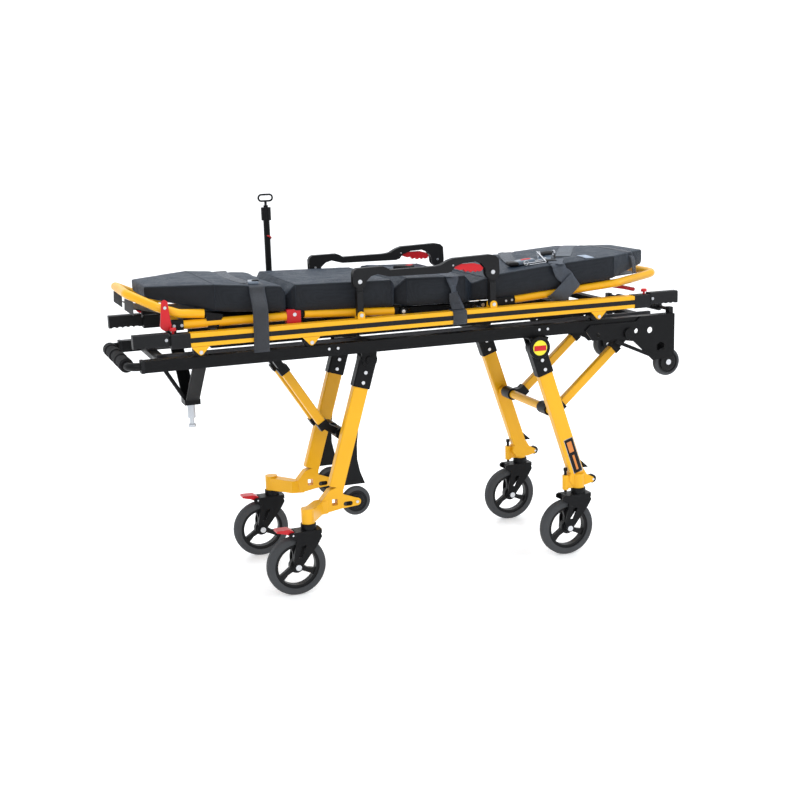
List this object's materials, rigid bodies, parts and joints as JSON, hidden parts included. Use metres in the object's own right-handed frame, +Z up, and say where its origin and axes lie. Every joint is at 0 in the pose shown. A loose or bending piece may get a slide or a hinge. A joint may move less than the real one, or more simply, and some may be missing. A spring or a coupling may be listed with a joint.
{
  "type": "ambulance stretcher trolley",
  "caption": "Wheeled patient transport stretcher: padded articulated deck on yellow side rails over a black undercarriage with folding legs, swivel casters and carry handles.",
  "frame": {"origin": "on the floor plane under the four casters, on the centre line, midway between the ends of the upper side rails", "axes": "+X towards the head end, +Y to the side carrying the drip pole, +Z up"},
  "size_m": [1.975, 0.5685, 1.2902],
  "materials": {
    "yellow_coat": "smooth golden-yellow powder coat",
    "black_coat": "satin black powder coat",
    "caster_tyre": "dark grey non-marking rubber",
    "black_plastic": "moulded, fine grain",
    "red_plastic": "glossy signal red",
    "steel": "brushed and plated",
    "black_anodised": "black anodised, satin",
    "soft_grip": "matt foam",
    "vinyl": "coated fabric, slight sheen"
  },
  "bodies": {
    "chassis": {"chassis_side_rails": "black_coat", "chassis_cross_members": "black_coat", "guide_rails": "steel", "push_handle": "black_coat", "push_handle_grip": "soft_grip", "leg_clevises": "black_coat", "steel_bolts": "steel", "floor_lock_bracket": "black_coat", "floor_lock_pin": "steel", "loading_brackets": "black_coat", "stretcher_side_rails": "yellow_coat", "rail_fittings": "black_plastic", "rail_brackets": "yellow_coat", "deck_frame": "black_coat", "seat_cushion": "vinyl", "iv_pole_tube": "black_anodised"},
    "foot_legs": {"foot_leg_tubes": "yellow_coat", "foot_leg_fittings": "black_coat", "foot_leg_castings": "yellow_coat"},
    "aux_wheel_pair": {"aux_wheels": "caster_tyre"},
    "foot_brace_body": {"foot_brace": "black_coat"},
    "head_legs": {"head_leg_tubes": "yellow_coat", "head_leg_fittings": "black_coat", "head_leg_castings": "yellow_coat"},
    "head_brace_body": {"head_brace": "black_coat"},
    "lock_pin_pair": {"direction_lock_pins": "steel"},
    "loading_wheel_pair": {"loading_wheels": "caster_tyre"},
    "thigh_section": {"thigh_frame": "yellow_coat", "thigh_cushion": "vinyl"},
    "calf_section": {"calf_frame": "yellow_coat", "calf_cushion": "vinyl"},
    "foot_lever_pair": {"foot_levers": "red_plastic"},
    "backrest_section": {"backrest_frame": "yellow_coat", "backrest_cushion": "vinyl"},
    "backrest_lever_bar": {"backrest_lever": "red_plastic"},
    "iv_rod": {"iv_pole_rod": "black_anodised"},
    "foot_button_pair": {"foot_handle_buttons": "red_plastic"},
    "head_button_pair": {"head_handle_buttons": "red_plastic"},
    "foot_fork_near": {"fork_foot_near": "black_coat"},
    "foot_wheel_near": {"wheel_foot_near": "caster_tyre"},
    "pedal_near": {"brake_pedal_near": "red_plastic"},
    "foot_fork_far": {"fork_foot_far": "black_coat"},
    "foot_wheel_far": {"wheel_foot_far": "caster_tyre"},
    "pedal_far": {"brake_pedal_far": "red_plastic"},
    "head_fork_near": {"fork_head_near": "black_coat"},
    "head_wheel_near": {"wheel_head_near": "caster_tyre"},
    "head_fork_far": {"fork_head_far": "black_coat"},
    "head_wheel_far": {"wheel_head_far": "caster_tyre"},
    "front_link_near": {"armrest_front_link_near": "black_plastic"},
    "rear_link_near": {"armrest_rear_link_near": "black_plastic"},
    "rail_handle_near": {"armrest_handle_near": "black_plastic"},
    "rail_trigger_near": {"armrest_trigger_near": "red_plastic"},
    "foot_handle_near": {"carry_handle_foot_near": "black_plastic"},
    "head_handle_near": {"carry_handle_head_near": "black_plastic"},
    "front_link_far": {"armrest_front_link_far": "black_plastic"},
    "rear_link_far": {"armrest_rear_link_far": "black_plastic"},
    "rail_handle_far": {"armrest_handle_far": "black_plastic"},
    "rail_trigger_far": {"armrest_trigger_far": "red_plastic"},
    "foot_handle_far": {"carry_handle_foot_far": "black_plastic"},
    "head_handle_far": {"carry_handle_head_far": "black_plastic"}
  },
  "joints": [
    {"name": "foot_leg_fold", "type": "hinge", "parent": "chassis", "child": "foot_legs", "pos_m": [-0.168, 0, 0.752], "axis": [0, 1, 0], "range_deg": [0, 57]},
    {"name": "foot_brace_follow", "type": "hinge", "parent": "foot_legs", "child": "foot_brace_body", "pos_m": [-0.24702, 0, 0.4886], "axis": [0, 1, 0], "range_deg": [-92.5, 0]},
    {"name": "head_leg_fold", "type": "hinge", "parent": "chassis", "child": "head_legs", "pos_m": [0.413, 0, 0.752], "axis": [0, 1, 0], "range_deg": [0, 92]},
    {"name": "head_brace_follow", "type": "hinge", "parent": "head_legs", "child": "head_brace_body", "pos_m": [0.49077, 0, 0.51546], "axis": [0, 1, 0], "range_deg": [-68.5, 0]},
    {"name": "aux_wheel_spin", "type": "hinge", "parent": "foot_legs", "child": "aux_wheel_pair", "pos_m": [-0.226, 0, 0.268], "axis": [0, 1, 0], "continuous": true},
    {"name": "foot_caster_swivel_near", "type": "hinge", "parent": "foot_legs", "child": "foot_fork_near", "pos_m": [-0.422, -0.228, 0.225], "axis": [0, 0, 1], "continuous": true},
    {"name": "foot_wheel_spin_near", "type": "hinge", "parent": "foot_fork_near", "child": "foot_wheel_near", "pos_m": [-0.47, -0.228, 0.1], "axis": [0, 1, 0], "continuous": true},
    {"name": "brake_pedal_press_near", "type": "hinge", "parent": "foot_fork_near", "child": "pedal_near", "pos_m": [-0.482, -0.228, 0.21], "axis": [0, -1, 0], "range_deg": [0, 10]},
    {"name": "foot_caster_swivel_far", "type": "hinge", "parent": "foot_legs", "child": "foot_fork_far", "pos_m": [-0.422, 0.228, 0.225], "axis": [0, 0, 1], "continuous": true},
    {"name": "foot_wheel_spin_far", "type": "hinge", "parent": "foot_fork_far", "child": "foot_wheel_far", "pos_m": [-0.47, 0.228, 0.1], "axis": [0, 1, 0], "continuous": true},
    {"name": "brake_pedal_press_far", "type": "hinge", "parent": "foot_fork_far", "child": "pedal_far", "pos_m": [-0.482, 0.228, 0.21], "axis": [0, -1, 0], "range_deg": [0, 10]},
    {"name": "head_caster_swivel_near", "type": "hinge", "parent": "head_legs", "child": "head_fork_near", "pos_m": [0.571, -0.238, 0.225], "axis": [0, 0, 1], "continuous": true},
    {"name": "head_wheel_spin_near", "type": "hinge", "parent": "head_fork_near", "child": "head_wheel_near", "pos_m": [0.523, -0.238, 0.1], "axis": [0, 1, 0], "continuous": true},
    {"name": "head_caster_swivel_far", "type": "hinge", "parent": "head_legs", "child": "head_fork_far", "pos_m": [0.571, 0.238, 0.225], "axis": [0, 0, 1], "continuous": true},
    {"name": "head_wheel_spin_far", "type": "hinge", "parent": "head_fork_far", "child": "head_wheel_far", "pos_m": [0.523, 0.238, 0.1], "axis": [0, 1, 0], "continuous": true},
    {"name": "direction_lock_lift", "type": "slide", "parent": "head_legs", "child": "lock_pin_pair", "axis": [0, 0, 1], "range_m": [-0.011, 0]},
    {"name": "loading_wheel_spin", "type": "hinge", "parent": "chassis", "child": "loading_wheel_pair", "pos_m": [0.934, 0, 0.654], "axis": [0, 1, 0], "continuous": true},
    {"name": "armrest_fold_near", "type": "hinge", "parent": "chassis", "child": "front_link_near", "pos_m": [-0.221, -0.244, 0.917], "axis": [0, 1, 0], "range_deg": [0, 78]},
    {"name": "armrest_rear_follow_near", "type": "hinge", "parent": "chassis", "child": "rear_link_near", "pos_m": [0.246, -0.244, 0.917], "axis": [0, 1, 0], "range_deg": [0, 78]},
    {"name": "armrest_handle_follow_near", "type": "hinge", "parent": "front_link_near", "child": "rail_handle_near", "pos_m": [-0.221, -0.244, 1.025], "axis": [0, 1, 0], "range_deg": [-78, 0]},
    {"name": "armrest_trigger_near", "type": "hinge", "parent": "rail_handle_near", "child": "rail_trigger_near", "pos_m": [0.104, -0.244, 1.056], "axis": [0, 1, 0], "range_deg": [-4, 0]},
    {"name": "foot_handle_slide_near", "type": "slide", "parent": "chassis", "child": "foot_handle_near", "axis": [-1, 0, 0], "range_m": [0, 0.15]},
    {"name": "head_handle_slide_near", "type": "slide", "parent": "chassis", "child": "head_handle_near", "axis": [1, 0, 0], "range_m": [0, 0.15]},
    {"name": "armrest_fold_far", "type": "hinge", "parent": "chassis", "child": "front_link_far", "pos_m": [-0.221, 0.244, 0.917], "axis": [0, 1, 0], "range_deg": [0, 78]},
    {"name": "armrest_rear_follow_far", "type": "hinge", "parent": "chassis", "child": "rear_link_far", "pos_m": [0.246, 0.244, 0.917], "axis": [0, 1, 0], "range_deg": [0, 78]},
    {"name": "armrest_handle_follow_far", "type": "hinge", "parent": "front_link_far", "child": "rail_handle_far", "pos_m": [-0.221, 0.244, 1.025], "axis": [0, 1, 0], "range_deg": [-78, 0]},
    {"name": "armrest_trigger_far", "type": "hinge", "parent": "rail_handle_far", "child": "rail_trigger_far", "pos_m": [0.104, 0.244, 1.056], "axis": [0, 1, 0], "range_deg": [-4, 0]},
    {"name": "foot_handle_slide_far", "type": "slide", "parent": "chassis", "child": "foot_handle_far", "axis": [-1, 0, 0], "range_m": [0, 0.15]},
    {"name": "head_handle_slide_far", "type": "slide", "parent": "chassis", "child": "head_handle_far", "axis": [1, 0, 0], "range_m": [0, 0.15]},
    {"name": "foot_button_press", "type": "slide", "parent": "chassis", "child": "foot_button_pair", "axis": [0, 0, -1], "range_m": [0, 0.005]},
    {"name": "head_button_press", "type": "slide", "parent": "chassis", "child": "head_button_pair", "axis": [0, 0, -1], "range_m": [0, 0.005]},
    {"name": "thigh_raise", "type": "hinge", "parent": "chassis", "child": "thigh_section", "pos_m": [-0.06, 0, 0.912], "axis": [0, 1, 0], "range_deg": [0, 20]},
    {"name": "calf_follow", "type": "hinge", "parent": "thigh_section", "child": "calf_section", "pos_m": [-0.43149, 0, 0.93147], "axis": [0, 1, 0], "range_deg": [-32, 0]},
    {"name": "foot_lever_turn", "type": "hinge", "parent": "calf_section", "child": "foot_lever_pair", "pos_m": [-0.847, 0, 0.986], "axis": [0, 1, 0], "range_deg": [-25, 25]},
    {"name": "backrest_raise", "type": "hinge", "parent": "chassis", "child": "backrest_section", "pos_m": [0.225, 0, 0.912], "axis": [0, -1, 0], "range_deg": [-3, 70]},
    {"name": "backrest_lever_pull", "type": "hinge", "parent": "backrest_section", "child": "backrest_lever_bar", "pos_m": [0.76237, 0, 0.92552], "axis": [0, -1, 0], "range_deg": [0, 10]},
    {"name": "iv_rod_lift", "type": "slide", "parent": "chassis", "child": "iv_rod", "axis": [0, 0, 1], "range_m": [0, 0.25]}
  ],
  "couplings": [
    {"joint": "foot_brace_follow", "follows": "foot_leg_fold", "ratio": -1.6135},
    {"joint": "head_brace_follow", "follows": "head_leg_fold", "ratio": -0.74019},
    {"joint": "calf_follow", "follows": "thigh_raise", "ratio": -1.6},
    {"joint": "armrest_rear_follow_near", "follows": "armrest_fold_near", "ratio": 1},
    {"joint": "armrest_handle_follow_near", "follows": "armrest_fold_near", "ratio": -1},
    {"joint": "armrest_rear_follow_far", "follows": "armrest_fold_far", "ratio": 1},
    {"joint": "armrest_handle_follow_far", "follows": "armrest_fold_far", "ratio": -1}
  ]
}
